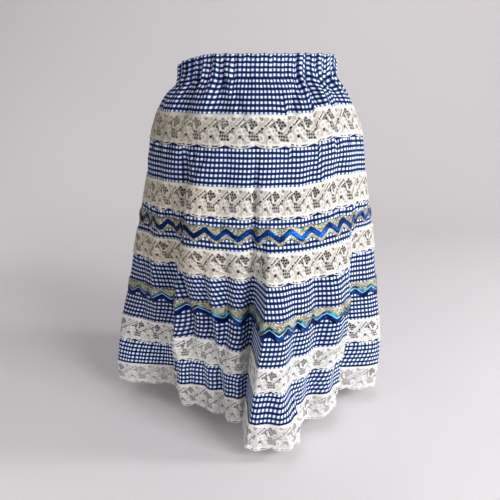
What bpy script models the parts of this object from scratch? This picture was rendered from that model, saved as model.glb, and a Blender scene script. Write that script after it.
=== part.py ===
"""Gathered gingham skirt with lace bands and rickrack, hollow and standing as it is worn.

Metres, +Z up, the front faces -Y. The origin is the middle of the waist opening, at half
the height of the elastic casing. Every piece is a wall made from one shared set of points
round the skirt: a column is a place round it, a drop is a depth below the origin.
"""
import math
from collections import namedtuple
from functools import lru_cache

import bmesh
import bpy
from mathutils import Vector

# Cut and cloth, in metres
COLUMNS = 78                 # places round the skirt: two make a gather or a zigzag
CLOTH_WALL = 0.0012
LACE_WALL = 0.0012
CASING_WALL = 0.0026         # two layers of cloth round the elastic
GOLD_WALL = 0.0010
BLUE_WALL = 0.0009
SEAM = 0.0004                # clear space where two pieces meet or lie on each other
GATHER = 0.0032              # how far a gather stands out of the casing's line, and in
RIPPLE = 0.0013              # the soft puckers that every lower seam leaves in its tier
SCALLOP = 0.0055             # how far a lace edge rises between two scallops
GAP_WIDE = 0.0060            # the eyelet in the middle of each lace motif
GAP_HIGH = 0.0080

# The tiers and laces are cut in a front and a back half, joined by a seam at each side
SIDE_COLUMN = COLUMNS // 4
HALVES = {"front": (SIDE_COLUMN, SIDE_COLUMN + COLUMNS // 2),
          "back": (SIDE_COLUMN + COLUMNS // 2, SIDE_COLUMN + COLUMNS)}

# Drops of the seams below the origin
CASING_TOP = -0.0205
CASING_STITCH = -0.0010
CASING_END = 0.0205
CASING_RUFFLE = 0.0010       # the casing's top edge rises and falls with its gathers
GATHERS_OPEN = 0.0500
LACE_1_TOP = 0.0885
LACE_1_END = 0.1495
LACE_2_TOP = 0.2215
LACE_2_END = 0.2825
LACE_3_TOP = 0.3435
LACE_3_END = 0.4015
LACE_4_TOP = 0.5490
LACE_4_END = 0.6060
LACE_5_TOP = 0.6640
HEM = 0.7225

# Rickrack rows: the middle line, how far each line swings, and the lines' distances from the middle
ROW_1_DROP = 0.3125
ROW_1_SWING = 0.0070
ROW_1_GOLD_TOP = 0.0155
ROW_1_BLUE = 0.0100          # height of the blue braid that lies on the gold
ROW_1_GOLD_END = 0.0135
ROW_2_DROP = 0.4800
ROW_2_SWING = 0.0062
ROW_2_GOLD_TOP = 0.0185
ROW_2_BORDER = 0.0058        # the gold ends and the blue begins here, above the middle
ROW_2_BLUE_END = 0.0125
TOP_SWING = 0.0015           # the gold's top edge is nearly straight

# The body of the skirt without its folds: half widths and half depths at each drop
Section = namedtuple("Section", "drop left right front back")
SECTIONS = [
    Section(-0.0205, 0.158, 0.162, 0.128, 0.126),
    Section(0.0205, 0.162, 0.164, 0.131, 0.130),
    Section(0.0500, 0.184, 0.186, 0.152, 0.152),
    Section(0.0885, 0.204, 0.204, 0.174, 0.173),
    Section(0.1495, 0.222, 0.224, 0.190, 0.192),
    Section(0.2215, 0.228, 0.230, 0.196, 0.203),
    Section(0.2825, 0.232, 0.236, 0.202, 0.211),
    Section(0.3435, 0.235, 0.238, 0.205, 0.218),
    Section(0.4015, 0.236, 0.236, 0.204, 0.222),
    Section(0.5490, 0.234, 0.228, 0.194, 0.226),
    Section(0.6640, 0.226, 0.218, 0.184, 0.228),
    Section(0.7225, 0.224, 0.216, 0.180, 0.229),
]

# Folds: a fold's middle turns from the first angle at the waist to the second at the hem
# (degrees from the front, towards +X), half is half its width at the hem, narrower above,
# left and right are how softly its two sides fall, start and full are the drops where it
# begins and is whole, rise is how far it stands out (or in) and dip how much lower it hangs.
Fold = namedtuple("Fold", "name top hem half left right start full rise dip")
FOLDS = [
    Fold("left waist droop", -92, -92, 0, 60, 60, -0.09, -0.03, 0.000, 0.020),
    Fold("left waist end", -92, -92, 0, 60, 60, 0.00, 0.08, 0.000, -0.020),
    Fold("right waist droop", 92, 92, 0, 22, 50, -0.09, -0.03, 0.000, 0.009),
    Fold("right waist end", 92, 92, 0, 22, 50, 0.00, 0.08, 0.000, -0.009),
    Fold("right hitch", 52, 52, 0, 30, 50, 0.03, 0.09, 0.000, -0.014),
    Fold("right hitch end", 52, 52, 0, 30, 50, 0.20, 0.36, 0.000, 0.009),
    Fold("left swell", -84, -88, 3, 16, 11, 0.14, 0.46, 0.034, 0.000),
    Fold("left flute", -94, -93, 5, 20, 9, 0.34, 0.74, 0.067, 0.000),
    Fold("left flank trough", -36, -73, 8, 9, 8, 0.10, 0.45, -0.034, 0.000),
    Fold("left front lobe", -34, -38, 8, 5, 12, 0.14, 0.30, 0.013, -0.004),
    Fold("left front flat", -35, -35, 11, 8, 7, 0.38, 0.52, -0.025, 0.000),
    Fold("left front step", -10, -12, 5, 6, 8, 0.48, 0.56, 0.014, 0.000),
    Fold("left hem curl", -56, -56, 10, 8, 14, 0.66, 0.75, -0.016, 0.000),
    Fold("left hem lift", -84, -84, 8, 10, 10, 0.64, 0.73, -0.004, -0.010),
    Fold("front flute", 14, 2, 6, 2, 9, 0.32, 0.55, 0.042, 0.000),
    Fold("front flute hem", 7, 7, 11, 2, 4, 0.61, 0.66, 0.016, 0.002),
    Fold("front flute corner", 16, 16, 2, 5, 2, 0.62, 0.70, 0.028, 0.000),
    Fold("front slope", 14, 3, 8, 4, 50, 0.26, 0.50, 0.050, 0.000),
    Fold("right front flat", 38, 38, 10, 8, 20, 0.52, 0.62, -0.012, 0.000),
    Fold("middle valley", 1, -5, 2, 4, 3, 0.05, 0.40, -0.010, 0.000),
    Fold("right flank trough", 69, 67, 5, 13, 9, 0.08, 0.40, -0.006, 0.000),
    Fold("right step", 42, 49, 7, 14, 11, 0.30, 0.48, 0.022, 0.000),
    Fold("right step back", 68, 68, 5, 10, 12, 0.22, 0.40, -0.012, 0.000),
    Fold("right tuck", 78, 78, 14, 12, 30, 0.28, 0.36, 0.000, -0.008),
    Fold("right tuck end", 78, 78, 14, 12, 30, 0.39, 0.48, 0.000, 0.008),
    Fold("right flute", 93, 90, 5, 14, 22, 0.16, 0.74, 0.072, 0.000),
    Fold("right hem curl", 92, 92, 14, 12, 20, 0.62, 0.76, -0.014, 0.000),
    Fold("right back trough", 118, 116, 8, 12, 10, 0.14, 0.50, -0.026, 0.000),
    Fold("right back flute", 142, 140, 13, 12, 10, 0.20, 0.66, 0.056, 0.006),
    Fold("back trough", 168, 170, 7, 10, 10, 0.16, 0.56, -0.022, 0.000),
    Fold("left back flute", 206, 208, 14, 10, 14, 0.22, 0.70, 0.060, 0.006),
    Fold("left back trough", 240, 242, 8, 10, 12, 0.14, 0.50, -0.026, 0.000),
]

# The cloth lies smooth over the middle of the front, with fewer gathers
SMOOTH_FROM = -22.0
SMOOTH_TO = 26.0
SMOOTH_SOFT = 9.0
SMOOTH_SHARE = 0.25

# Colours, roughness and metallic value of each material
NAVY_CHECK = ("gingham", (0.19, 0.23, 0.40), 0.85, 0.0)
LACE_WHITE = ("lace", (0.84, 0.81, 0.76), 0.80, 0.0)
GOLD_BRAID = ("gold_braid", (0.62, 0.54, 0.34), 0.35, 0.6)
BLUE_BRAID = ("blue_braid", (0.02, 0.12, 0.42), 0.30, 0.6)


def ease(value):
    """Go from 0 to 1 with a soft start and a soft end."""
    value = min(1.0, max(0.0, value))
    return value * value * (3.0 - 2.0 * value)


def section_at(drop):
    """Read the section table at one drop, with soft changes of slope between its rows."""
    last = len(SECTIONS) - 1
    low = 0
    while low < last - 1 and drop > SECTIONS[low + 1].drop:
        low += 1
    before, start, end, after = (SECTIONS[min(last, max(0, low + k))] for k in (-1, 0, 1, 2))
    span = end.drop - start.drop
    part = (drop - start.drop) / span
    sizes = []
    for column in range(1, len(start)):
        run_in = max(start.drop - before.drop, span)
        run_out = max(after.drop - end.drop, span)
        slope_in = (end[column] - before[column]) / (run_in + span) * span
        slope_out = (after[column] - start[column]) / (run_out + span) * span
        if before is start:
            slope_in = end[column] - start[column]
        if after is end:
            slope_out = end[column] - start[column]
        square, cube = part * part, part ** 3
        sizes.append((2 * cube - 3 * square + 1) * start[column] + (cube - 2 * square + part) * slope_in
                     + (3 * square - 2 * cube) * end[column] + (cube - square) * slope_out)
    return sizes


def share_of_fold(fold, turn, drop):
    """How much of a fold is there at one angle and drop, from 0 to 1."""
    grown = ease((drop - fold.start) / (fold.full - fold.start))
    if grown == 0.0:
        return 0.0
    way_down = max(0.0, drop) / HEM
    middle = fold.top + (fold.hem - fold.top) * way_down
    away = (turn - middle + 180.0) % 360.0 - 180.0
    side = fold.left if away < 0 else fold.right
    return grown * (1.0 - ease((abs(away) - fold.half * way_down ** 1.5) / side))


def smooth_point(turn, drop):
    """A point of the skirt's main form, before its gathers."""
    left, right, front, back = section_at(drop)
    angle = math.radians(turn)
    wide = right if math.sin(angle) > 0 else left
    deep = front if math.cos(angle) > 0 else back
    reach = 1.0 / math.hypot(math.sin(angle) / wide, math.cos(angle) / deep)
    dip = 0.0
    for fold in FOLDS:
        share = share_of_fold(fold, turn, drop)
        reach += fold.rise * share
        dip += fold.dip * share
    return Vector((reach * math.sin(angle), -reach * math.cos(angle), -drop - dip))


@lru_cache(maxsize=None)
def turns_at(drop):
    """The angles of the columns at one drop, equally far apart along the cloth."""
    steps = 720
    turns = [180.0 + 360.0 * step / steps for step in range(steps + 1)]
    points = [smooth_point(turn, drop) for turn in turns]
    lengths = [0.0]
    for here, there in zip(points, points[1:]):
        lengths.append(lengths[-1] + (there - here).length)
    found = []
    step = 0
    for column in range(COLUMNS):
        target = lengths[-1] * column / COLUMNS
        while lengths[step + 1] < target:
            step += 1
        part = (target - lengths[step]) / (lengths[step + 1] - lengths[step])
        found.append(turns[step] + part * (turns[step + 1] - turns[step]))
    return found


def gather_depth(turn, drop):
    """How far the gathers stand out at one angle and drop."""
    opened = ease((drop - CASING_END) / (LACE_1_TOP - CASING_END))
    deep = GATHER * (1.0 - opened) + RIPPLE * 0.4 * opened
    below = ease((drop - LACE_3_TOP) / (LACE_3_END - LACE_3_TOP))
    deep += RIPPLE * 0.8 * below
    away = (turn + 180.0) % 360.0 - 180.0
    smooth = ease((away - SMOOTH_FROM) / SMOOTH_SOFT) * (1.0 - ease((away - SMOOTH_TO) / SMOOTH_SOFT))
    uneven = 0.85 + 0.15 * math.sin(2.4 * turn)
    return deep * uneven * (1.0 - (1.0 - SMOOTH_SHARE) * smooth)


def cloth_point(column, drop):
    """A point of the cloth at one column: gathers push every second column out."""
    turn = turns_at(drop)[column % COLUMNS]
    point = smooth_point(turn, drop)
    push = gather_depth(turn, drop) * (1.0 if column % 2 else -1.0)
    angle = math.radians(turn)
    return point + Vector((math.sin(angle), -math.cos(angle), 0.0)) * push


def outward(column, drop):
    """The direction that points out of the cloth."""
    reach = 0.006
    along = cloth_point(column + 1, drop) - cloth_point(column - 1, drop)
    down = cloth_point(column, drop + reach) - cloth_point(column, drop - reach)
    return down.cross(along).normalized()


def level(drop):
    """A row of points at one drop all round."""
    return [drop] * COLUMNS


def zigzag(drop, swing):
    """A row of points that swings up and down, column by column."""
    return [drop + (swing if column % 2 else -swing) for column in range(COLUMNS)]


def scallops(drop, columns_each):
    """The row of points along a scalloped lace edge."""
    return [drop - (SCALLOP if column % columns_each == 0 else 0.0) for column in range(COLUMNS)]


def shifted(row, amount):
    """The same row of points, lower by an amount."""
    return [drop + amount for drop in row]


def eyelet(corners):
    """The corners of a small gap in the middle of a patch of lace."""
    middle = sum(corners, Vector()) / 4
    across = ((corners[1] + corners[2]) - (corners[0] + corners[3])) / 2
    down = ((corners[3] + corners[2]) - (corners[0] + corners[1])) / 2
    half_wide = across.normalized() * GAP_WIDE / 2
    half_high = down.normalized() * GAP_HIGH / 2
    return [middle - half_wide - half_high, middle + half_wide - half_high,
            middle + half_wide + half_high, middle - half_wide + half_high]


def wall(name, rows, lift, thick, material, span=None, gap_columns=()):
    """Make one piece of cloth as a closed wall through rows of drops.

    The wall's inner side lies lift out of the cloth's points. A span of columns makes an
    open strip, parted by a seam at both ends, and no span makes a ring. A gap column gets
    an eyelet cut through its patch.
    """
    first, last = span if span else (0, COLUMNS)
    count = last - first + 1 if span else COLUMNS
    mesh = bmesh.new()
    sides = []
    for out in (lift + thick, lift):
        grid = []
        for row in rows:
            line = []
            for step in range(count):
                column = first + step
                drop = row[column % COLUMNS]
                place = cloth_point(column, drop) + outward(column, drop) * out
                if span and step in (0, count - 1):
                    inward = 1 if step == 0 else -1
                    aside = (cloth_point(column + inward, drop) - cloth_point(column, drop)).normalized()
                    place += aside * SEAM / 2
                line.append(mesh.verts.new(place))
            grid.append(line)
        sides.append(grid)
    outer, inner = sides

    def patch(grid, row, step):
        after = (step + 1) % count
        return [grid[row][step], grid[row][after], grid[row + 1][after], grid[row + 1][step]]

    def rim(first_side, second_side):
        for here in range(len(first_side)):
            there = (here + 1) % len(first_side)
            mesh.faces.new((first_side[here], first_side[there], second_side[there], second_side[here]))

    patches = count - 1 if span else count
    for row in range(len(rows) - 1):
        for step in range(patches):
            front, behind = patch(outer, row, step), patch(inner, row, step)
            if (first + step) % COLUMNS not in gap_columns:
                mesh.faces.new((front[0], front[3], front[1]))
                mesh.faces.new((front[1], front[3], front[2]))
                mesh.faces.new((behind[0], behind[1], behind[3]))
                mesh.faces.new((behind[1], behind[2], behind[3]))
                continue
            front_gap = [mesh.verts.new(place) for place in eyelet([vert.co for vert in front])]
            behind_gap = [mesh.verts.new(place) for place in eyelet([vert.co for vert in behind])]
            rim(front_gap, front)
            rim(behind, behind_gap)
            rim(behind_gap, front_gap)
    for step in range(patches):
        after = (step + 1) % count
        mesh.faces.new((outer[0][step], outer[0][after], inner[0][after], inner[0][step]))
        mesh.faces.new((inner[-1][step], inner[-1][after], outer[-1][after], outer[-1][step]))
    if span:
        for row in range(len(rows) - 1):
            mesh.faces.new((outer[row + 1][0], outer[row][0], inner[row][0], inner[row + 1][0]))
            mesh.faces.new((outer[row][-1], outer[row + 1][-1], inner[row + 1][-1], inner[row][-1]))
    bmesh.ops.triangulate(mesh, faces=mesh.faces[:])
    data = bpy.data.meshes.new(name)
    mesh.to_mesh(data)
    mesh.free()
    data.materials.append(material)
    piece = bpy.data.objects.new(name, data)
    bpy.context.scene.collection.objects.link(piece)
    return piece


def make_material(name, colour, roughness, metallic):
    """A plain material of the cloth's or braid's own colour."""
    material = bpy.data.materials.new(name)
    material.use_nodes = True
    shader = material.node_tree.nodes["Principled BSDF"]
    shader.inputs["Base Color"].default_value = (*colour, 1.0)
    shader.inputs["Roughness"].default_value = roughness
    shader.inputs["Metallic"].default_value = metallic
    return material


def make_tier(name, top, between, bottom, material):
    """A gingham strip between two seams, through the lines that its braid follows."""
    rows = [shifted(top, SEAM / 2)] + between + [shifted(bottom, -SEAM / 2)]
    for half, span in HALVES.items():
        wall(f"{name}_{half}", rows, 0.0, CLOTH_WALL, material, span)


def make_lace(name, top, bottom, motif_columns, material):
    """A lace band between two seams, with an eyelet in each motif."""
    rows = [shifted(top, SEAM / 2), shifted(bottom, -SEAM / 2)]
    gaps = {column for column in range(COLUMNS) if column % motif_columns == motif_columns // 2}
    for half, span in HALVES.items():
        wall(f"{name}_{half}", rows, 0.0, LACE_WALL, material, span, gaps)


def make_rickrack(gingham_tiers, gold, blue):
    """The two rows of braid, each made from the lines of the tier below it."""
    tier_3, tier_4 = gingham_tiers
    on_cloth = CLOTH_WALL + SEAM
    wall("rickrack_gold_1", tier_3, on_cloth, GOLD_WALL, gold)
    wall("rickrack_blue_1", tier_3[1:3], on_cloth + GOLD_WALL + SEAM, BLUE_WALL, blue)
    upper, middle, lower = tier_4
    wall("rickrack_gold_2", [upper, shifted(middle, -SEAM / 2)], on_cloth, GOLD_WALL, gold)
    wall("rickrack_blue_2", [shifted(middle, SEAM / 2), lower], on_cloth, BLUE_WALL, blue)


def main():
    """Clear the scene and make every piece, from the waist down."""
    for old in list(bpy.data.objects):
        bpy.data.objects.remove(old, do_unlink=True)
    gingham = make_material(*NAVY_CHECK)
    lace = make_material(*LACE_WHITE)
    gold = make_material(*GOLD_BRAID)
    blue = make_material(*BLUE_BRAID)

    wide_motif, small_motif = 3, 2
    edge_1 = scallops(LACE_1_END, wide_motif)
    edge_2 = scallops(LACE_2_END, wide_motif)
    edge_3 = scallops(LACE_3_END, wide_motif)
    edge_4 = scallops(LACE_4_END, small_motif)
    hem = scallops(HEM, small_motif)

    casing_rows = [zigzag(CASING_TOP, CASING_RUFFLE), level(CASING_STITCH),
                   level(CASING_END - SEAM / 2)]
    wall("waistband", casing_rows, 0.0, CASING_WALL, gingham)
    make_tier("tier_1", level(CASING_END), [level(GATHERS_OPEN)], level(LACE_1_TOP), gingham)
    make_lace("lace_1", level(LACE_1_TOP), edge_1, wide_motif, lace)
    make_tier("tier_2", edge_1, [], level(LACE_2_TOP), gingham)
    make_lace("lace_2", level(LACE_2_TOP), edge_2, wide_motif, lace)

    row_1 = [zigzag(ROW_1_DROP - ROW_1_GOLD_TOP, TOP_SWING),
             zigzag(ROW_1_DROP - ROW_1_BLUE / 2, ROW_1_SWING),
             zigzag(ROW_1_DROP + ROW_1_BLUE / 2, ROW_1_SWING),
             zigzag(ROW_1_DROP + ROW_1_GOLD_END, ROW_1_SWING)]
    make_tier("tier_3", edge_2, row_1, level(LACE_3_TOP), gingham)
    make_lace("lace_3", level(LACE_3_TOP), edge_3, wide_motif, lace)

    row_2 = [zigzag(ROW_2_DROP - ROW_2_GOLD_TOP, TOP_SWING),
             zigzag(ROW_2_DROP - ROW_2_BORDER, ROW_2_SWING),
             zigzag(ROW_2_DROP + ROW_2_BLUE_END, ROW_2_SWING)]
    make_tier("tier_4", edge_3, row_2, level(LACE_4_TOP), gingham)
    make_lace("lace_4", level(LACE_4_TOP), edge_4, small_motif, lace)
    make_tier("tier_5", edge_4, [], level(LACE_5_TOP), gingham)
    make_lace("lace_5", level(LACE_5_TOP), hem, small_motif, lace)
    make_rickrack((row_1, row_2), gold, blue)


main()
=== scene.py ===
"""Looks of a gathered gingham skirt with lace bands and rickrack, standing as it is worn.

Metres, +Z up, the front faces -Y, the origin is the middle of the waist opening. A share is a
place round the cloth, from 0 at the back centre to 1, a turn is an angle from the front towards
+X, in degrees, and a drop is a depth below the origin.
"""
import math
from collections import namedtuple

import bpy
import numpy as np
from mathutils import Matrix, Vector
from mathutils.geometry import delaunay_2d_cdt


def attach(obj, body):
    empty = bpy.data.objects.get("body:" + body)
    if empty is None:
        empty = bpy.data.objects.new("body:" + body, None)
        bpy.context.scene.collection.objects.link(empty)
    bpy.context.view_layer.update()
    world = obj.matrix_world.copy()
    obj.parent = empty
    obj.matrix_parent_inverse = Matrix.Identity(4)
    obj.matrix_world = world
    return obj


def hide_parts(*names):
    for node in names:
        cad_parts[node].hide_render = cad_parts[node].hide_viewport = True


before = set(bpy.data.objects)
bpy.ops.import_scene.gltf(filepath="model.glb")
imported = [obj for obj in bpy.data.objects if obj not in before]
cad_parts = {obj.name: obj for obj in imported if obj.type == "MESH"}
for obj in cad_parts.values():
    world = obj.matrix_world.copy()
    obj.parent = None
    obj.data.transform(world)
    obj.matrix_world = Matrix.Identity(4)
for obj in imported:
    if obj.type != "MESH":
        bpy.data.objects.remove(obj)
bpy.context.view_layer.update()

# Drops of the seams and the hem
CASING_TOP = -0.0205
CASING_END = 0.0205
HEM = 0.7225
LAP = 0.0065                 # how far a tier runs on under the lace above and below it
SEAM_LAP = 0.0010            # how far tier 1 runs up under the casing

# The tiers, from seam to seam: the flat strip's length, rows of points, puckers along the top seam
Tier = namedtuple("Tier", "top bottom flat_width rows puckers")
TIERS = [
    Tier(CASING_END, 0.0885, 1.44, 22, 118),
    Tier(0.1495, 0.2215, 1.70, 22, 131),
    Tier(0.2825, 0.3435, 1.88, 19, 127),
    Tier(0.4015, 0.5490, 2.40, 36, 139),
    Tier(0.6060, 0.6640, 2.64, 18, 151),
]

# The laces: repeats of the flower round the skirt, and by what share of a repeat they are shifted
Lace = namedtuple("Lace", "repeats shift")
LACES = [Lace(23, 0.73), Lace(33, 0.88), Lace(33, 0.27), Lace(41, 0.0), Lace(42, 0.0)]

# The rows of rickrack: the drop of a row's middle and its zigzags round the skirt
Row = namedtuple("Row", "drop zigzags")
ROW_1 = Row(0.3125, 34)
ROW_2 = Row(0.4800, 48)

# The body of the skirt without its folds: half widths and half depths at each drop
Section = namedtuple("Section", "drop left right front back")
SECTIONS = [
    Section(CASING_TOP, 0.158, 0.162, 0.128, 0.126),
    Section(CASING_END, 0.162, 0.164, 0.131, 0.130),
    Section(0.0500, 0.184, 0.186, 0.152, 0.152),
    Section(0.0885, 0.204, 0.204, 0.174, 0.173),
    Section(0.1495, 0.222, 0.224, 0.190, 0.192),
    Section(0.2215, 0.228, 0.230, 0.196, 0.203),
    Section(0.2825, 0.232, 0.236, 0.202, 0.211),
    Section(0.3435, 0.235, 0.238, 0.205, 0.218),
    Section(0.4015, 0.236, 0.236, 0.204, 0.222),
    Section(0.5490, 0.234, 0.228, 0.194, 0.226),
    Section(0.6640, 0.226, 0.218, 0.184, 0.228),
    Section(HEM, 0.224, 0.216, 0.180, 0.229),
]

# The large folds: see share_of_fold for what the columns do
Fold = namedtuple("Fold", "name top hem half left right start full rise dip")
FOLDS = [
    Fold("left waist droop", -92, -92, 0, 60, 60, -0.09, -0.03, 0.000, 0.020),
    Fold("left waist end", -92, -92, 0, 60, 60, 0.00, 0.08, 0.000, -0.020),
    Fold("right waist droop", 92, 92, 0, 22, 50, -0.09, -0.03, 0.000, 0.009),
    Fold("right waist end", 92, 92, 0, 22, 50, 0.00, 0.08, 0.000, -0.009),
    Fold("right hitch", 52, 52, 0, 30, 50, 0.03, 0.09, 0.000, -0.014),
    Fold("right hitch end", 52, 52, 0, 30, 50, 0.20, 0.36, 0.000, 0.009),
    Fold("left swell", -84, -88, 3, 16, 11, 0.14, 0.46, 0.034, 0.000),
    Fold("left flute", -94, -93, 5, 20, 9, 0.34, 0.74, 0.067, 0.000),
    Fold("left flank trough", -36, -73, 8, 9, 8, 0.10, 0.45, -0.034, 0.000),
    Fold("left front lobe", -34, -38, 8, 5, 12, 0.14, 0.30, 0.013, -0.004),
    Fold("left front flat", -35, -35, 11, 8, 7, 0.38, 0.52, -0.025, 0.000),
    Fold("left front step", -10, -12, 5, 6, 8, 0.48, 0.56, 0.014, 0.000),
    Fold("left hem curl", -56, -56, 10, 8, 14, 0.66, 0.75, -0.016, 0.000),
    Fold("left hem lift", -84, -84, 8, 10, 10, 0.64, 0.73, -0.004, -0.010),
    Fold("front flute", 14, 2, 6, 2, 9, 0.32, 0.55, 0.042, 0.000),
    Fold("front flute hem", 7, 7, 11, 2, 4, 0.61, 0.66, 0.016, 0.002),
    Fold("front flute corner", 16, 16, 2, 5, 2, 0.62, 0.70, 0.028, 0.000),
    Fold("front slope", 14, 3, 8, 4, 50, 0.26, 0.50, 0.050, 0.000),
    Fold("right front flat", 38, 38, 10, 8, 20, 0.52, 0.62, -0.012, 0.000),
    Fold("middle valley", 1, -5, 2, 4, 3, 0.05, 0.40, -0.010, 0.000),
    Fold("right flank trough", 69, 67, 5, 13, 9, 0.08, 0.40, -0.006, 0.000),
    Fold("right step", 42, 49, 7, 14, 11, 0.30, 0.48, 0.022, 0.000),
    Fold("right step back", 68, 68, 5, 10, 12, 0.22, 0.40, -0.012, 0.000),
    Fold("right tuck", 78, 78, 14, 12, 30, 0.28, 0.36, 0.000, -0.008),
    Fold("right tuck end", 78, 78, 14, 12, 30, 0.39, 0.48, 0.000, 0.008),
    Fold("right flute", 93, 90, 5, 14, 22, 0.16, 0.74, 0.072, 0.000),
    Fold("right hem curl", 92, 92, 14, 12, 20, 0.62, 0.76, -0.014, 0.000),
    Fold("right back trough", 118, 116, 8, 12, 10, 0.14, 0.50, -0.026, 0.000),
    Fold("right back flute", 142, 140, 13, 12, 10, 0.20, 0.66, 0.056, 0.006),
    Fold("back trough", 168, 170, 7, 10, 10, 0.16, 0.56, -0.022, 0.000),
    Fold("left back flute", 206, 208, 14, 10, 14, 0.22, 0.70, 0.060, 0.006),
    Fold("left back trough", 240, 242, 8, 10, 12, 0.14, 0.50, -0.026, 0.000),
]

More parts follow.
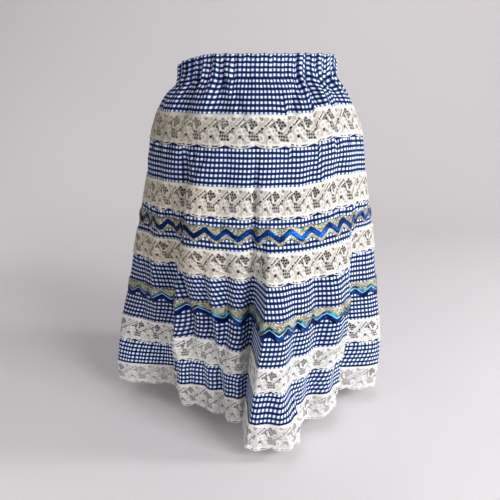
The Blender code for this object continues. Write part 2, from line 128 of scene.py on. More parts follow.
# Creases given one by one, soft ridges and troughs: see crease_depth for what the columns do
Crease = namedtuple("Crease", "from_turn to_turn from_drop to_drop half rise")
CREASES = [
    # gathers that run down out of the casing, front
    Crease(-22, -20, -0.012, 0.060, 4.0, 0.0045),
    Crease(-28, -21, 0.012, 0.098, 4.5, -0.0095),
    Crease(-17, -7, 0.036, 0.104, 2.4, -0.0085),
    Crease(-41, -33, -0.010, 0.120, 6.0, 0.0060),
    Crease(-53, -46, 0.020, 0.110, 5.0, -0.0070),
    Crease(-66, -62, 0.000, 0.120, 6.0, 0.0060),
    Crease(-80, -76, 0.010, 0.110, 5.5, -0.0060),
    Crease(30, 21, 0.030, 0.104, 2.6, -0.0095),
    Crease(43, 39, 0.020, 0.090, 3.4, -0.0085),
    Crease(50, 48, 0.000, 0.110, 4.5, 0.0060),
    Crease(59, 57, 0.005, 0.105, 4.0, -0.0075),
    Crease(70, 68, 0.000, 0.115, 5.0, 0.0060),
    Crease(82, 80, 0.010, 0.110, 5.0, -0.0060),
    # gathers that run down out of the casing, back
    Crease(104, 102, 0.000, 0.120, 6.0, 0.0060),
    Crease(118, 121, 0.010, 0.110, 5.0, -0.0070),
    Crease(133, 132, 0.000, 0.100, 5.0, 0.0050),
    Crease(149, 152, 0.010, 0.120, 5.0, -0.0080),
    Crease(166, 164, 0.000, 0.110, 6.0, 0.0060),
    Crease(181, 183, 0.012, 0.100, 5.0, -0.0070),
    Crease(197, 196, 0.000, 0.115, 5.0, 0.0060),
    Crease(214, 210, 0.010, 0.110, 5.5, -0.0080),
    Crease(231, 233, 0.000, 0.110, 6.0, 0.0060),
    Crease(247, 245, 0.012, 0.105, 4.0, -0.0060),
    # upper tiers
    Crease(-43, -42, 0.120, 0.400, 2.4, -0.0100),
    Crease(0, -3, 0.150, 0.420, 1.5, -0.0060),
    Crease(-33, -44, 0.140, 0.226, 1.8, -0.0050),
    Crease(-37, -45, 0.150, 0.236, 1.8, 0.0040),
    Crease(-27, -42, 0.150, 0.240, 1.8, -0.0040),
    Crease(-50, -50, 0.160, 0.360, 4.5, 0.0050),
    Crease(-30, -31, 0.150, 0.300, 6.0, 0.0035),
    Crease(-17, -18, 0.130, 0.300, 5.0, -0.0040),
    Crease(-74, -73, 0.140, 0.320, 6.0, 0.0060),
    Crease(-82, -82, 0.180, 0.360, 4.0, -0.0050),
    Crease(16, 15, 0.130, 0.280, 5.0, -0.0030),
    Crease(32, 32, 0.150, 0.320, 4.0, -0.0050),
    Crease(50, 49, 0.170, 0.340, 4.5, -0.0060),
    Crease(57, 58, 0.140, 0.320, 5.0, 0.0040),
    Crease(78, 77, 0.150, 0.330, 5.0, 0.0050),
    Crease(104, 106, 0.140, 0.340, 6.0, 0.0060),
    Crease(129, 128, 0.150, 0.350, 5.5, -0.0060),
    Crease(154, 155, 0.150, 0.330, 6.0, 0.0050),
    Crease(181, 180, 0.140, 0.350, 6.0, 0.0060),
    Crease(193, 194, 0.160, 0.340, 5.0, -0.0060),
    Crease(223, 222, 0.150, 0.340, 6.0, -0.0050),
    Crease(254, 253, 0.150, 0.330, 5.5, 0.0050),
    # tier 4 and the row of braid on it
    Crease(-29, -30, 0.330, 0.600, 2.6, -0.0090),
    Crease(-24, -25, 0.320, 0.580, 3.6, 0.0060),
    Crease(-17, -18, 0.330, 0.600, 2.8, -0.0095),
    Crease(-9, -10, 0.320, 0.640, 4.2, 0.0070),
    Crease(-2, -9, 0.360, 0.770, 2.4, -0.0110),
    Crease(-43, -44, 0.330, 0.640, 3.4, -0.0080),
    Crease(-52, -53, 0.360, 0.640, 4.0, 0.0060),
    Crease(-74, -74, 0.340, 0.600, 4.0, 0.0050),
    Crease(-81, -81, 0.380, 0.660, 3.4, -0.0050),
    Crease(20, 22, 0.360, 0.620, 3.5, 0.0050),
    Crease(30, 32, 0.330, 0.600, 3.2, -0.0090),
    Crease(40, 42, 0.340, 0.620, 3.6, 0.0050),
    Crease(65, 64, 0.380, 0.640, 4.0, 0.0050),
    Crease(76, 76, 0.340, 0.620, 4.0, -0.0060),
    Crease(104, 105, 0.360, 0.640, 5.0, 0.0070),
    Crease(127, 126, 0.380, 0.620, 4.5, -0.0070),
    Crease(153, 154, 0.360, 0.640, 5.0, -0.0070),
    Crease(180, 181, 0.360, 0.640, 5.5, 0.0080),
    Crease(190, 190, 0.380, 0.620, 4.0, -0.0060),
    Crease(224, 225, 0.360, 0.640, 5.0, -0.0070),
    Crease(256, 255, 0.360, 0.620, 5.0, 0.0060),
    # tier 5 and the hem
    Crease(-30, -31, 0.560, 0.760, 3.4, 0.0060),
    Crease(-38, -38, 0.570, 0.760, 3.2, -0.0060),
    Crease(-16, -15, 0.570, 0.760, 3.4, -0.0070),
    Crease(-72, -72, 0.570, 0.760, 3.6, 0.0060),
    Crease(-79, -79, 0.580, 0.760, 3.0, -0.0060),
    Crease(4, 3, 0.560, 0.760, 3.2, -0.0050),
    Crease(11, 11, 0.570, 0.760, 3.2, 0.0050),
    Crease(32, 33, 0.560, 0.760, 3.4, -0.0060),
    Crease(41, 42, 0.560, 0.760, 3.8, 0.0060),
    Crease(65, 66, 0.570, 0.760, 3.8, 0.0070),
    Crease(74, 74, 0.570, 0.760, 3.2, -0.0070),
    Crease(82, 82, 0.580, 0.760, 3.2, 0.0050),
    Crease(101, 100, 0.570, 0.760, 4.0, -0.0060),
    Crease(111, 112, 0.560, 0.760, 4.0, 0.0060),
    Crease(130, 130, 0.570, 0.760, 4.0, 0.0060),
    Crease(149, 150, 0.560, 0.760, 4.0, -0.0070),
    Crease(163, 164, 0.570, 0.760, 4.0, 0.0060),
    Crease(178, 179, 0.560, 0.760, 4.0, -0.0060),
    Crease(199, 200, 0.570, 0.760, 4.0, 0.0060),
    Crease(216, 217, 0.560, 0.760, 4.0, -0.0070),
    Crease(232, 233, 0.570, 0.760, 4.0, 0.0060),
    Crease(250, 251, 0.560, 0.760, 4.0, -0.0060),
    Crease(262, 262, 0.570, 0.760, 4.0, 0.0050),
]

# Small pleats that the seams jump across: see pleat_lift for what the columns do
Pleat = namedtuple("Pleat", "turn from_drop to_drop reach step")
PLEATS = [
    Pleat(19, 0.040, 0.190, 9, 0.0050),
    Pleat(36, 0.030, 0.210, 8, 0.0085),
    Pleat(47, 0.030, 0.200, 6, -0.0080),
    Pleat(38, 0.170, 0.270, 7, 0.0036),
    Pleat(-46, 0.060, 0.200, 6, 0.0030),
    Pleat(112, 0.040, 0.190, 8, 0.0040),
    Pleat(158, 0.040, 0.200, 8, -0.0040),
    Pleat(205, 0.040, 0.190, 8, 0.0040),
    Pleat(238, 0.150, 0.270, 7, -0.0036),
]

# Gathers
GATHERS = 39                 # round the waist
GATHER = 0.0040              # how far a gather stands out of the cloth's line, and in
GATHER_LOST = 0.84           # the share of its depth that is gone at the first lace
ROW_SLIP = 0.0034            # how far the gathers draw the checks up and down at the waist
SLIP_REACH = 0.0620          # how far below the casing that ends
PUCKER = 0.0010              # the fine puckers along a gathered seam
PUCKER_BELOW = 0.0040        # how far below the seam they are deepest
PUCKER_REACH = 0.0260        # how far from there they end
RIPPLE = 0.0018              # the soft ripples of the lower tiers
RIPPLE_FROM = 0.160          # the drop where they begin
RIPPLE_GROWS = 0.300         # how much lower they are whole
SMOOTH_FROM = -22.0          # the cloth lies smooth over the middle of the front
SMOOTH_TO = 26.0
SMOOTH_SOFT = 9.0
SMOOTH_SHARE = 0.25          # how much of the gathers is left there
CREASE_END = 0.3             # the share of a crease or pleat over which each end fades

# Thicknesses and the order of the layers, as distances out of the cloth's line
CLOTH_THICK = 0.0005
LACE_THICK = 0.0005
BRAID_THICK = 0.0006
CASING_PUFF = 0.0016
TIER_LIFT = 0.0003
LACE_LIFT = 0.0014
BRAID_LIFT = 0.0014
BLUE_OVER_GOLD = 0.0016      # how much further out row 1's blue braid lies than its gold
GOLD_OVER_BLUE = 0.0010      # how much further out row 2's gold braid lies than its blue


def ease(value):
    """Go from 0 to 1 with a soft start and a soft end."""
    value = np.clip(value, 0.0, 1.0)
    return value * value * (3.0 - 2.0 * value)


def turn_from(turn, middle):
    """How far a turn lies past another, from -180 to 180 degrees."""
    return (turn - middle + 180.0) % 360.0 - 180.0


def sizes_at(drop):
    """Read the section table at an array of drops, with soft changes of slope between its rows."""
    table = np.array(SECTIONS)
    drops = table[:, 0]
    low = np.clip(np.searchsorted(drops, drop) - 1, 0, len(drops) - 2)
    before, after = np.maximum(low - 1, 0), np.minimum(low + 2, len(drops) - 1)
    span = drops[low + 1] - drops[low]
    part = (drop - drops[low]) / span
    run_in = np.maximum(drops[low] - drops[before], span)
    run_out = np.maximum(drops[after] - drops[low + 1], span)
    square, cube = part * part, part ** 3
    found = []
    for column in range(1, table.shape[1]):
        size = table[:, column]
        slope_in = (size[low + 1] - size[before]) / (run_in + span) * span
        slope_out = (size[after] - size[low]) / (run_out + span) * span
        slope_in = np.where(before == low, size[low + 1] - size[low], slope_in)
        slope_out = np.where(after == low + 1, size[low + 1] - size[low], slope_out)
        found.append((2 * cube - 3 * square + 1) * size[low] + (cube - 2 * square + part) * slope_in
                     + (3 * square - 2 * cube) * size[low + 1] + (cube - square) * slope_out)
    return found


def share_of_fold(fold, turn, drop):
    """How much of a fold is there, from 0 to 1.

    Its middle turns from the top angle at the waist to the hem angle, half is half its width at
    the hem, left and right are how softly its sides fall, start and full are the drops where it
    begins and is whole, rise is how far it stands out and dip how much lower its hem hangs.
    """
    grown = ease((drop - fold.start) / (fold.full - fold.start))
    way_down = np.maximum(0.0, drop) / HEM
    middle = fold.top + (fold.hem - fold.top) * way_down
    away = turn_from(turn, middle)
    side = np.where(away < 0, fold.left, fold.right)
    return grown * (1.0 - ease((np.abs(away) - fold.half * way_down ** 1.5) / side))


def main_form(turn, drop):
    """The reach from the middle and the height of the skirt's main form, before its gathers."""
    left, right, front, back = sizes_at(drop)
    angle = np.radians(turn)
    wide = np.where(np.sin(angle) > 0, right, left)
    deep = np.where(np.cos(angle) > 0, front, back)
    reach = 1.0 / np.hypot(np.sin(angle) / wide, np.cos(angle) / deep)
    dip = 0.0
    for fold in FOLDS:
        share = share_of_fold(fold, turn, drop)
        reach = reach + fold.rise * share
        dip = dip + fold.dip * share
    return reach, -drop - dip


def down_crease(crease, drop):
    """The way down a crease or a pleat, from 0 to 1, and how much of it is there."""
    way = (drop - crease.from_drop) / (crease.to_drop - crease.from_drop)
    return way, ease(way / CREASE_END) * ease((1.0 - way) / CREASE_END)


def crease_depth(turn, drop):
    """How far the creases push the cloth out or in.

    A crease's middle goes from one turn to another on its way down, half is how many degrees
    beside its middle it is half as high, and rise is how far it stands out.
    """
    push = np.zeros(np.broadcast(turn, drop).shape)
    for crease in CREASES:
        way, there = down_crease(crease, drop)
        middle = crease.from_turn + (crease.to_turn - crease.from_turn) * way
        away = np.abs(turn_from(turn, middle))
        push += crease.rise * there * (1.0 - ease(away / (2.0 * crease.half)))
    return push


def pleat_lift(turn, drop):
    """How far the pleats lift the cloth beside them.

    The cloth lies higher by step just past a pleat than just before it, and the difference
    fades out within its reach in degrees.
    """
    lift = np.zeros(np.broadcast(turn, drop).shape)
    for pleat in PLEATS:
        away = turn_from(turn, pleat.turn)
        jump = np.clip(away / 0.8, -1.0, 1.0) * np.maximum(0.0, 1.0 - np.abs(away) / pleat.reach)
        lift += 0.5 * pleat.step * down_crease(pleat, drop)[1] * jump
    return lift


def places_round(turn, reach, height):
    """Places at a turn, a reach from the middle and a height, as rows of three."""
    angle = np.radians(turn)
    return np.stack([reach * np.sin(angle), -reach * np.cos(angle), height], axis=-1)


# Places equally far apart along the cloth, one line of turns for each drop of the table
TABLE_STEP = 0.004
TABLE_TURNS = 720
TABLE_SHARES = 1440
table_drops = np.arange(-0.032, 0.772, TABLE_STEP)
table_turns = 180.0 + 360.0 * np.arange(TABLE_TURNS + 1) / TABLE_TURNS


def make_turn_table():
    """The turn at each of TABLE_SHARES shares, for every drop of the table."""
    shares = np.arange(TABLE_SHARES + 1) / TABLE_SHARES
    rows = []
    for drop in table_drops:
        line = places_round(table_turns, *main_form(table_turns, np.full(TABLE_TURNS + 1, drop)))
        run = np.concatenate([[0.0], np.cumsum(np.linalg.norm(np.diff(line, axis=0), axis=1))])
        rows.append(np.interp(shares, run / run[-1], table_turns))
    return np.array(rows)


turn_table = make_turn_table()


def turn_at(share, drop):
    """The turn at an array of shares (any whole turns added) and drops."""
    whole = np.floor(share)
    across = (share - whole) * TABLE_SHARES
    down = np.clip((drop - table_drops[0]) / TABLE_STEP, 0, len(table_drops) - 1.001)
    column, row = np.minimum(across.astype(int), TABLE_SHARES - 1), down.astype(int)
    right, below = across - column, down - row
    upper = turn_table[row, column] * (1 - right) + turn_table[row, column + 1] * right
    lower = turn_table[row + 1, column] * (1 - right) + turn_table[row + 1, column + 1] * right
    return upper * (1 - below) + lower * below + 360.0 * whole


def wave(share, count, wander, start=0.0):
    """A wave of count crests round the skirt, spaced unevenly, from -1 to 1."""
    round_once = 2.0 * np.pi * share
    return np.sin(count * round_once + wander * np.sin(5 * round_once + 1.0 + start)
                  + 0.6 * wander * np.sin(11 * round_once + 2.3 * start) + start)


def smooth_front(turn):
    """1 where the cloth lies smooth over the middle of the front, and 0 elsewhere."""
    away = turn_from(turn, 0.0)
    return ease((away - SMOOTH_FROM) / SMOOTH_SOFT) * (1.0 - ease((away - SMOOTH_TO) / SMOOTH_SOFT))


def gather_depth(share, turn, drop):
    """How far the gathers, puckers and ripples push the cloth out or in."""
    calm = 1.0 - (1.0 - SMOOTH_SHARE) * smooth_front(turn)
    opened = ease((drop - CASING_END) / (TIERS[0].bottom - CASING_END))
    main = wave(share, GATHERS, 0.9) + 0.22 * wave(share, 2 * GATHERS, 1.7, 0.8)
    push = GATHER * (1.0 - GATHER_LOST * opened) * (0.80 + 0.20 * wave(share, 7, 0.4)) * main
    lower = ease((drop - RIPPLE_FROM) / RIPPLE_GROWS)
    push = push + RIPPLE * lower * (0.55 * wave(share, 57, 1.4, 1.7) + 0.45 * wave(share, 41, 1.9, 4.1))
    for tier in TIERS:
        near = 1.0 - ease(np.abs(drop - tier.top - PUCKER_BELOW) / PUCKER_REACH)
        push = push + PUCKER * near * wave(share, tier.puckers, 2.2, 0.1 * tier.puckers)
    return push * calm


def row_slip(share, turn, drop):
    """How far the gathers draw the cloth up or down, most of all at the right of the waist."""
    fading = 1.0 - ease((drop - CASING_END) / SLIP_REACH)
    fading = fading * (0.4 + 0.6 * ease((drop - CASING_TOP) / 0.018))
    uneven = (0.62 + 0.38 * np.sin(np.radians(turn))) * (1.0 - 0.9 * smooth_front(turn))
    return ROW_SLIP * fading * uneven * (wave(share, GATHERS, 0.9, 1.1) + 0.3 * wave(share, 61, 1.9))


def cloth(share, drop):
    """Places of the cloth's middle line, as an array of rows of three."""
    turn = turn_at(share, drop)
    reach, height = main_form(turn, drop)
    reach = reach + crease_depth(turn, drop) + gather_depth(share, turn, drop)
    height = height + row_slip(share, turn, drop) + pleat_lift(turn, drop)
    return places_round(turn, reach, height)


def cloth_and_out(share, drop):
    """Places of the cloth and the directions that point out of it."""
    aside, down = 0.0006, 0.0015
    along = cloth(share + aside, drop) - cloth(share - aside, drop)
    fall = cloth(share, drop + down) - cloth(share, drop - down)
    out = np.cross(fall, along)
    return cloth(share, drop), out / np.linalg.norm(out, axis=-1, keepdims=True)


def add_object(name, data):
    """Put an object with this data in the scene."""
    made = bpy.data.objects.new(name, data)
    bpy.context.scene.collection.objects.link(made)
    return made


def mesh_piece(name, places, faces, uvs, material, thick, dense=None):
    """Make a piece from places, faces and the UV of each face corner, in metres.

    thick makes it a thin shell, and dense is how much thread a lace has at each place, below zero round the
    eyelets, where it marks painted shade.
    """
    data = bpy.data.meshes.new(name)
    data.from_pydata(places.tolist(), [], faces)
    layer = data.uv_layers.new(name="cloth")
    layer.data.foreach_set("uv", np.asarray(uvs, dtype=np.float32).ravel())
    if dense is not None:
        attribute = data.attributes.new("dense", "FLOAT", "POINT")
        attribute.data.foreach_set("value", np.asarray(dense, dtype=np.float32))
    data.materials.append(material)
    data.shade_smooth()
    piece = add_object(name, data)
    if thick:
        shell = piece.modifiers.new("thickness", "SOLIDIFY")
        shell.thickness = thick
        shell.offset = -1.0
        shell.use_even_offset = False
    return piece


def ring_grid(columns, rows):
    """The faces of a closed ring of columns by rows of points, and each corner's column and row."""
    column, row = np.meshgrid(np.arange(columns), np.arange(rows - 1))
    column, row = column.ravel(), row.ravel()
    corners = [(column, row), (column, row + 1), (column + 1, row + 1), (column + 1, row)]
    faces = np.stack([down * columns + across % columns for across, down in corners], axis=1)
    across = np.stack([corner[0] for corner in corners], axis=1)
    down = np.stack([corner[1] for corner in corners], axis=1)
    return faces.tolist(), across, down


def ring_piece(name, drops, lift, width, heights, material, thick, drawn=0.0):
    """A strip all round the skirt.

    drops are its rows of points, and lift is how far each row stands off the cloth's line. Laid
    flat it is width long, and heights are how far its rows lie from its first edge. drawn is how
    far along the gathers draw its checks.
    """
    rows, columns = drops.shape
    share = np.broadcast_to(np.arange(columns) / columns, drops.shape)
    places, out = cloth_and_out(share, drops)
    places = (places + out * np.asarray(lift)[..., None]).reshape(-1, 3)
    faces, across, down = ring_grid(columns, rows)
    along = across / columns + drawn * np.sin(4 * math.tau * across / columns + math.pi)
    uvs = np.stack([along * width, -np.asarray(heights)[down]], axis=-1)
    return mesh_piece(name, places, faces, uvs.reshape(-1, 2), material, thick)


class Value:
    """A number that changes over a surface, so that shader maths reads as an expression."""

    def __init__(self, shop, socket):
        self.shop = shop
        self.socket = socket

    def maths(self, operation, *others):
        """Add a Math node that starts from this number."""
        return self.shop.node("ShaderNodeMath", {"operation": operation}, (self,) + others)

    def __add__(self, other):
        return self.maths("ADD", other)

    __radd__ = __add__

    def __sub__(self, other):
        return self.maths("SUBTRACT", other)

    def __rsub__(self, other):
        return self.shop.node("ShaderNodeMath", {"operation": "SUBTRACT"}, (other, self))

    def __mul__(self, other):
        return self.maths("MULTIPLY", other)

    __rmul__ = __mul__

    def __truediv__(self, other):
        return self.maths("DIVIDE", other)

    def __abs__(self):
        return self.maths("ABSOLUTE")

    def fraction(self):
        return self.maths("FRACT")

    def sine(self):
        return self.maths("SINE")

    def clamped(self):
        """The number, kept between 0 and 1."""
        return self.maths("MAXIMUM", 0.0).maths("MINIMUM", 1.0)


class Shop:
    """One material, and the one method that adds a node to it."""

    def __init__(self, name, **constants):
        self.material = bpy.data.materials.new(name)
        self.material.use_nodes = True
        self.tree = self.material.node_tree
        self.shader = self.tree.nodes["Principled BSDF"]
        for socket, value in constants.items():
            self.shader.inputs[socket.replace("_", " ")].default_value = value

    def node(self, kind, settings, inputs, output=0):
        """Add a node: its settings first, then the values or links of its sockets.

        The inputs are a list from the first socket on, or each has its socket's name or number.
        """
        made = self.tree.nodes.new(kind)
        for key, value in settings.items():
            setattr(made, key, value)
        pairs = inputs.items() if isinstance(inputs, dict) else enumerate(inputs)
        for key, value in pairs:
            if isinstance(value, Value):
                self.tree.links.new(value.socket, made.inputs[key])
            else:
                made.inputs[key].default_value = value
        return Value(self, made.outputs[output])

    def mix(self, factor, first, second):
        """Mix two colours."""
        settings = {"data_type": "RGBA", "clamp_factor": True}
        return self.node("ShaderNodeMix", settings, {0: factor, 6: first, 7: second}, 2)

    def part(self, vector, number):
        """One of the three parts of a vector."""
        return self.node("ShaderNodeSeparateXYZ", {}, (vector,), number)

    def place(self):
        """The place on the piece, in metres."""
        return self.node("ShaderNodeTexCoord", {}, (), "Object")

    def across_and_down(self):
        """The place on the flat strip, in metres, as two numbers."""
        flat = self.node("ShaderNodeUVMap", {"uv_map": "cloth"}, ())
        return self.part(flat, 0), self.part(flat, 1)

    def noise(self, scale, detail=2.0, roughness=0.5):
        """Soft noise over the piece, from 0 to 1."""
        inputs = {"Vector": self.place(), "Scale": scale, "Detail": detail, "Roughness": roughness}
        return self.node("ShaderNodeTexNoise", {}, inputs)

    def painted_shade_left(self):
        """0 in the middle and on the right of the skirt, 1 at its left side, which gets painted shade."""
        return (self.part(self.place(), 0) * -9.0 - 0.2).clamped()

    def below(self, drop):
        """0 above a drop, and 1 from 0.1 m below it."""
        return ((self.part(self.place(), 2) + drop) * -10.0).clamped()

    def bump(self, height, strength, distance):
        """Raise the surface by a height."""
        inputs = {"Height": height, "Strength": strength, "Distance": distance}
        self.link(self.node("ShaderNodeBump", {}, inputs), "Normal")

    def link(self, value, socket):
        """Let a value drive one of the shader's sockets."""
        self.tree.links.new(value.socket, self.shader.inputs[socket])


def colour(red, green, blue):
    """A colour given as it looks on a screen, from 0 to 255, as the shader's linear numbers."""
    def linear(part):
        part /= 255.0
        return part / 12.92 if part <= 0.04045 else ((part + 0.055) / 1.055) ** 2.4
    return (linear(red), linear(green), linear(blue), 1.0)


# The cloths and yarns
CHECK = 0.0100               # one navy and one white stripe
CHECK_EDGE = 0.0008          # how softly a stripe ends
WARP_STRIPE = 0.246          # half the width of a stripe that runs down the skirt, in checks
WARP_BLUE = colour(58, 88, 158)
WEFT_BLUE = colour(12, 34, 106)
NAVY = colour(1, 5, 38)
WHITE_COTTON = colour(236, 248, 255)
YARN = 0.0007
NET = 0.0017                 # from one hole of the lace's net to the next
STITCH = 0.0034              # from one stitch of a seam to the next
STITCH_THREAD = 0.0005       # half the thread's width
CASING_SEAM = 0.0591         # how far up the casing's strip the seam in its middle runs
LACE_SEAM = 0.0021           # how far below its heading's edge a lace is sewn on
FOIL = 0.0058                # the turquoise strip along the top of row 2's blue braid
PIPING = 0.0075              # its thin pale piping ends here


def stitches(across, down, height):
    """A line of machine stitches at a height of the flat strip, 1 on the thread."""
    along = (across / STITCH).fraction() - 0.5
    on_line = (1.0 - abs(down + height) / STITCH_THREAD).clamped()
    return (on_line * ((0.36 - abs(along)) * 12.0).clamped() * 1.6).clamped()


def stripe(value, half):
    """1 on a check's navy stripe, half of whose width is given in checks, 0 on its white one."""
    away = abs((value / CHECK).fraction() - 0.5)
    return ((half - away) * (CHECK / CHECK_EDGE) + 0.5).clamped()


def make_gingham(name, weft_stripe, painted_left_shade=0.0, seam=None):
    """Small navy and white woven checks, the weft's stripes a little darker than the warp's.

    weft_stripe is half the width of a stripe that runs round the skirt, in checks, painted_left_shade
    how much painted shade darkens the left side below tier 1, and seam the height of a line of stitches.
    """
    shop = Shop(name, Roughness=0.82, Specular_IOR_Level=0.12, Sheen_Weight=0.04, Sheen_Roughness=0.5)
    across, down = shop.across_and_down()
    warp = stripe(across, WARP_STRIPE)
    light = shop.mix(warp, WHITE_COTTON, WARP_BLUE)
    dark = shop.mix(warp, WEFT_BLUE, NAVY)
    checks = shop.mix(stripe(down, weft_stripe), light, dark)
    worn = shop.noise(38.0, 4.0, 0.6)
    checks = shop.mix(worn * 0.04, checks, colour(120, 126, 156))
    # painted shade: the left side below tier 1 is darkened towards near black
    if painted_left_shade:
        shade = shop.painted_shade_left() * shop.below(0.09) * painted_left_shade
        checks = shop.mix(shade, checks, colour(30, 27, 26))
    over = (across * (math.tau / YARN)).sine() * (down * (math.tau / YARN)).sine()
    relief = over * 0.5 + shop.noise(900.0) * 0.5
    if seam is not None:
        thread = stitches(across, down, seam)
        checks = shop.mix(thread * 0.8, checks, colour(206, 212, 226))
        relief = relief + thread
    shop.link(checks, "Base Color")
    shop.link(0.76 + worn * 0.14, "Roughness")
    shop.bump(relief, 0.35, 0.0003)
    return shop.material


def make_lace_material(name, net_light, painted_net_hole_shade, painted_warm_shade):
    """Cotton lace: white thread over a finer, greyer net, with painted shade in the net's holes and round the
    eyelets, and painted_warm_shade of painted warm shade at the left.
    """
    shop = Shop(name, Roughness=0.85, Specular_IOR_Level=0.15, Sheen_Weight=0.05, Sheen_Roughness=0.5)
    across, down = shop.across_and_down()
    dense = shop.node("ShaderNodeAttribute", {"attribute_name": "dense"}, (), "Fac")
    solid = ((dense - 0.40) * 1.8).clamped()
    # 1 round the eyelets, where the tile marks painted shade
    painted_hole_shade = ((dense + 0.16) * -4.0).clamped()
    slant = ((across + down) * (math.tau / NET)).sine()
    net = slant * ((across - down) * (math.tau / NET)).sine() * 0.5 + 0.5
    # the net's darker spots are painted shade seen through its holes
    thread = shop.mix(solid, shop.mix(net, net_light, painted_net_hole_shade), colour(232, 231, 229))
    thread = shop.mix(shop.noise(24.0, 3.0) * 0.22, thread, colour(190, 178, 154))
    # painted warm shade: the left side is yellowed
    thread = shop.mix(shop.painted_shade_left() * painted_warm_shade, thread, colour(172, 154, 120))
    # painted shade round the eyelets
    thread = shop.mix(painted_hole_shade * 0.30, thread, colour(96, 90, 82))
    sewn = stitches(across, down, LACE_SEAM)
    shop.link(shop.mix(sewn * 0.6, thread, colour(250, 250, 250)), "Base Color")
    fuzz = shop.noise(1200.0) * 0.4
    shop.bump(solid * 0.6 - (1.0 - solid) * net * 0.5 + sewn + fuzz, 0.6, 0.0005)
    return shop.material


def glitter(shop, dull, painted_sheen_colour, painted_glint):
    """Metallic yarn: its colour, its fine facets, and painted sheen: wide patches painted brighter, with
    painted glints on them, fewer on the left side, which gets painted shade.
    """
    cells = {"Vector": shop.place(), "Scale": 1500.0}
    cell = shop.node("ShaderNodeTexVoronoi", {"feature": "F1"}, cells, "Color")
    facets = shop.node("ShaderNodeSeparateColor", {}, (cell,))
    # painted sheen in wide patches, thinned out by painted shade on the left side
    painted_sheen_patch = ((shop.noise(52.0) - 0.42) * 5.0).clamped() * (1.0 - shop.painted_shade_left() * 0.75)
    # the facets' own random tone, and the painted sheen
    facets_and_painted_sheen = facets * 0.35 + painted_sheen_patch * 0.65
    yarn = shop.mix(facets_and_painted_sheen, dull, painted_sheen_colour)
    # painted glints on the brightest facets inside the sheen patches
    return shop.mix(((facets - 0.90) * 10.0).clamped() * painted_sheen_patch, yarn, painted_glint), facets, facets_and_painted_sheen


def finish_yarn(shop, yarn, facets, slanted, pitch, smoothest, uneven):
    """Give a braid its colour, its uneven gloss and its slanting plait."""
    plait = (slanted * (math.tau / pitch)).sine() * 0.5 + 0.5
    shop.link(yarn, "Base Color")
    shop.link(smoothest + facets * uneven, "Roughness")
    shop.bump(plait * 0.5 + facets * 0.5, 0.6, 0.0004)
    return shop.material


def make_gold_material():
    """Pale, slightly grey gold braid, with painted sheen, painted glints and painted sparkle."""
    shop = Shop("gold_yarn", Metallic=0.45, Roughness=0.45, Specular_IOR_Level=0.25)
    yarn, facets, _ = glitter(shop, colour(96, 96, 78), colour(190, 188, 162), colour(252, 250, 240))
    # dark flecks are the yarn's own tone; bright flecks are painted sparkle
    flecks_and_painted_sparkle = shop.noise(520.0, 1.0)
    yarn = shop.mix(((flecks_and_painted_sparkle - 0.53) * 9.0).clamped() * 0.75, yarn, colour(64, 64, 42))
    yarn = shop.mix(((0.46 - flecks_and_painted_sparkle) * 9.0).clamped() * 0.80, yarn, colour(246, 242, 224))
    across, down = shop.across_and_down()
    return finish_yarn(shop, yarn, facets, across * 1.6 + down, 0.0024, 0.34, 0.30)


def make_blue_material(name, with_foil):
    """Royal blue braid, and on row 2 its turquoise foil and pale piping, with painted sheen in patches and
    painted shade on the left side.
    """
    shop = Shop(name, Metallic=0.88, Roughness=0.30, Specular_IOR_Level=0.2)
    # the blue of the painted sheen, and the darker blue of the painted shade on the left side
    painted_sheen_colour = colour(3, 52, 150) if with_foil else colour(4, 88, 206)
    painted_shade_blue = colour(3, 18, 92) if with_foil else colour(2, 8, 52)
    yarn, facets, facets_and_painted_sheen = glitter(shop, colour(1, 4, 24), painted_sheen_colour, colour(120, 214, 255))
    yarn = shop.mix(shop.painted_shade_left() * 0.75, yarn, painted_shade_blue)
    across, down = shop.across_and_down()
    if with_foil:
        # painted highlight and shade on the foil: bright turquoise in patches, dark elsewhere, with fewer
        # patches on the left side
        painted_foil_highlight = ((shop.noise(64.0, 1.0) - 0.48) * 7.0).clamped() * (1.0 - shop.painted_shade_left() * 0.6)
        foil = shop.mix(painted_foil_highlight * 0.8 + facets * 0.2, colour(0, 18, 34), colour(44, 190, 228))
        # the piping is pale where the painted sheen falls, and greyer elsewhere
        piping = shop.mix(facets_and_painted_sheen, colour(128, 154, 158), colour(226, 244, 244))
        yarn = shop.mix(((down + PIPING) * 4000.0).clamped(), yarn, piping)
        yarn = shop.mix(((down + FOIL) * 4000.0).clamped(), yarn, foil)
    return finish_yarn(shop, yarn, facets, across * 1.2 - down, 0.0026, 0.26, 0.26)


# gingham_cotton, on tiers 1 to 4, has painted shade on its left side
gingham = make_gingham("gingham_cotton", 0.272, painted_left_shade=0.24)
hem_gingham = make_gingham("gingham_hem", 0.246)
casing_gingham = make_gingham("gingham_casing", 0.252, seam=CASING_SEAM)
# both are one lace: the hem's copy has its net painted lighter, as painted light, and almost no painted warm
# shade at the left
lace_thread = make_lace_material("cotton_lace", colour(202, 197, 190), colour(168, 162, 153), 0.40)
lighter_painted_hem_lace = make_lace_material("cotton_lace_hem_painted_lighter", colour(216, 216, 217), colour(184, 184, 184), 0.04)
gold_yarn = make_gold_material()
blue_yarn = make_blue_material("blue_yarn", False)
foil_yarn = make_blue_material("foil_and_blue_yarn", True)


def finish_piece(piece, nodes):
    """Let a piece ride on the root, and hide the parts of model.glb that it stands for."""
    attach(piece, "root")
    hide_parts(*nodes)


